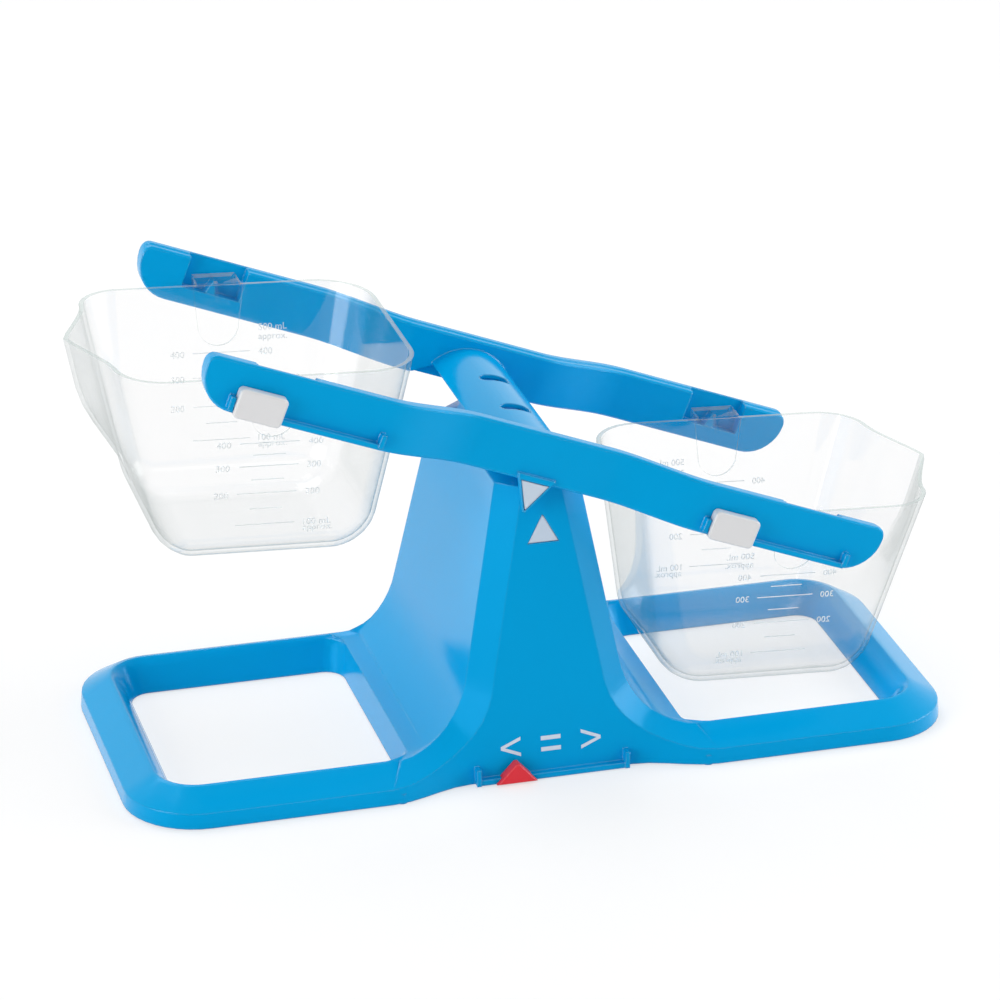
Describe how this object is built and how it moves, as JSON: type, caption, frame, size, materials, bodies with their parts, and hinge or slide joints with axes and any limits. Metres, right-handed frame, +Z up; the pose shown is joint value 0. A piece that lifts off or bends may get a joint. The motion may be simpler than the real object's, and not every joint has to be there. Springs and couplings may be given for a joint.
{
  "type": "bucket balance",
  "caption": "Bucket balance: a tilting two-bar beam on a hollow tower and ring base, with clear spouted buckets hung at its ends and sliding balance weights.",
  "frame": {"origin": "centre of the overall footprint, on the table", "axes": "+X along the base to the right, -Y towards the front with the marker rail, +Z up"},
  "size_m": [0.3828, 0.156, 0.209],
  "materials": {
    "blue_abs": "gloss",
    "white_abs": "satin",
    "red_abs": "satin",
    "clear_styrene": "clear"
  },
  "bodies": {
    "base": {"base_tower": "blue_abs", "tower_inlay": "white_abs"},
    "beam": {"beam": "blue_abs", "pointer_inlay": "white_abs"},
    "slider_left": {"slider_left": "white_abs"},
    "slider_right": {"slider_right": "white_abs"},
    "marker": {"marker": "red_abs"},
    "bucket_left": {"bucket_left": "clear_styrene"},
    "bucket_right": {"bucket_right": "clear_styrene"}
  },
  "joints": [
    {"name": "beam_tilt", "type": "hinge", "parent": "base", "child": "beam", "pos_m": [0, 0, 0.1478], "axis": [0, 1, 0], "range_deg": [-42.12, 0]},
    {"name": "bucket_left_hang", "type": "hinge", "parent": "beam", "child": "bucket_left", "pos_m": [-0.11433, 0, 0.19011], "axis": [0, 1, 0], "range_deg": [-2, 44]},
    {"name": "bucket_right_hang", "type": "hinge", "parent": "beam", "child": "bucket_right", "pos_m": [0.11318, 0, 0.1025], "axis": [0, 1, 0], "range_deg": [-2, 44]},
    {"name": "slider_left_slide", "type": "slide", "parent": "beam", "child": "slider_left", "axis": [0.9332, 0, -0.3593], "range_m": [0, 0.0431]},
    {"name": "slider_right_slide", "type": "slide", "parent": "beam", "child": "slider_right", "axis": [0.9332, 0, -0.3593], "range_m": [0, 0.0431]},
    {"name": "marker_slide", "type": "slide", "parent": "base", "child": "marker", "axis": [1, 0, 0], "range_m": [-0.0062, 0.0392]}
  ],
  "couplings": [
    {"joint": "bucket_left_hang", "follows": "beam_tilt", "ratio": -1},
    {"joint": "bucket_right_hang", "follows": "beam_tilt", "ratio": -1}
  ]
}
